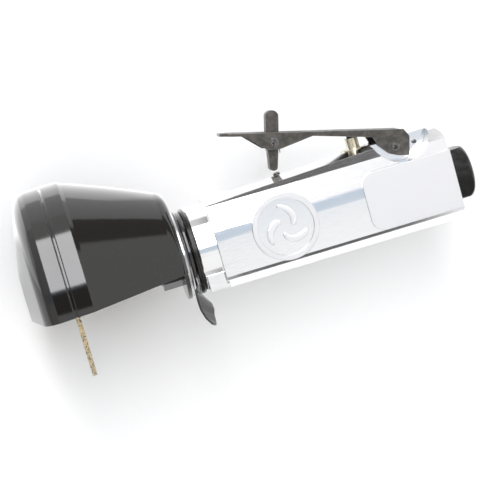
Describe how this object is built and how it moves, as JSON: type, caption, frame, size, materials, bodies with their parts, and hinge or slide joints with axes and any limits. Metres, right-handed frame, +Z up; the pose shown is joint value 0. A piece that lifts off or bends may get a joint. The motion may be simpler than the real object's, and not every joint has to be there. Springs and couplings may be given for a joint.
{
  "type": "pneumatic cut-off tool",
  "caption": "Hand-held air-driven cut-off tool: abrasive disc in a bell guard, straight polished body with throttle lever, lock-off lever and threaded air inlet.",
  "frame": {"origin": "centre of the air inlet's mouth", "axes": "+X along the tool's axis out of the air inlet, +Y towards the throttle lever, +Z up as the tool lies on its side"},
  "size_m": [0.1957, 0.086, 0.088],
  "materials": {
    "polished_aluminium": "polished, with satin rear pads",
    "black_paint": "gloss black enamel",
    "phosphated_steel": "satin dark phosphate",
    "black_oxide": "semi-gloss black oxide",
    "bright_steel": "turned and ground",
    "dark_steel_pin": "oiled",
    "brass": "turned",
    "black_rubber": "matt",
    "vane_resin": "fabric-filled resin",
    "abrasive": "resin-bonded grit with glass mesh"
  },
  "bodies": {
    "spindle": {"cutting_disc": "abrasive", "inner_flange": "bright_steel", "outer_flange": "bright_steel", "disc_screw": "black_oxide", "arbor": "bright_steel", "rotor": "bright_steel", "rotor_vanes": "vane_resin", "front_bearing_inner_race": "bright_steel", "front_bearing_balls": "bright_steel", "rear_bearing_inner_race": "bright_steel", "rear_bearing_balls": "bright_steel"},
    "guard": {"guard_rear_shell": "black_paint", "guard_front_cover": "black_paint"},
    "housing": {"motor_housing": "polished_aluminium", "front_lock_ring": "black_oxide", "guard_nut": "black_oxide", "friction_washer": "bright_steel", "spring_washer": "bright_steel", "finger_stop": "black_paint", "cylinder_liner": "bright_steel", "liner_pin": "bright_steel", "front_end_plate": "bright_steel", "rear_end_plate": "bright_steel", "front_bearing_outer_race": "bright_steel", "rear_bearing_outer_race": "bright_steel", "inlet_bushing": "black_oxide", "inlet_seal": "black_rubber", "inlet_screen": "bright_steel", "valve_bush": "brass", "valve_spring": "bright_steel", "lever_pin": "dark_steel_pin", "lever_stop_pin": "dark_steel_pin", "stop_stud": "dark_steel_pin"},
    "plunger": {"valve_plunger": "brass", "plunger_button": "black_rubber", "valve_head": "black_rubber"},
    "lever": {"throttle_lever": "phosphated_steel", "lock_pin": "dark_steel_pin", "lock_spring": "bright_steel"},
    "lock": {"lock_lever": "phosphated_steel"}
  },
  "joints": [
    {"name": "spindle_spin", "type": "hinge", "parent": "housing", "child": "spindle", "pos_m": [-0.1772, 0, 0], "axis": [1, 0, 0], "continuous": true},
    {"name": "guard_turn", "type": "hinge", "parent": "housing", "child": "guard", "pos_m": [-0.1322, 0, 0], "axis": [1, 0, 0], "continuous": true},
    {"name": "throttle_squeeze", "type": "hinge", "parent": "housing", "child": "lever", "pos_m": [-0.0296, 0.0189, 0], "axis": [0, 0, 1], "range_deg": [0, 8], "stiffness_Nm_per_rad": 0.6, "springref_deg": -17.19},
    {"name": "plunger_press", "type": "slide", "parent": "housing", "child": "plunger", "axis": [0, -1, 0], "range_m": [0, 0.0026], "stiffness_N_per_m": 120, "springref_m": -0.002, "deforming": ["valve_spring"]},
    {"name": "lock_fold", "type": "hinge", "parent": "lever", "child": "lock", "pos_m": [-0.0789, 0.0351, 0], "axis": [0, 0, 1], "range_deg": [-64, 0]}
  ],
  "couplings": [
    {"joint": "plunger_press", "follows": "throttle_squeeze", "m_per_rad": 0.0186},
    {"joint": "lock_fold", "follows": "throttle_squeeze", "ratio": -8}
  ]
}
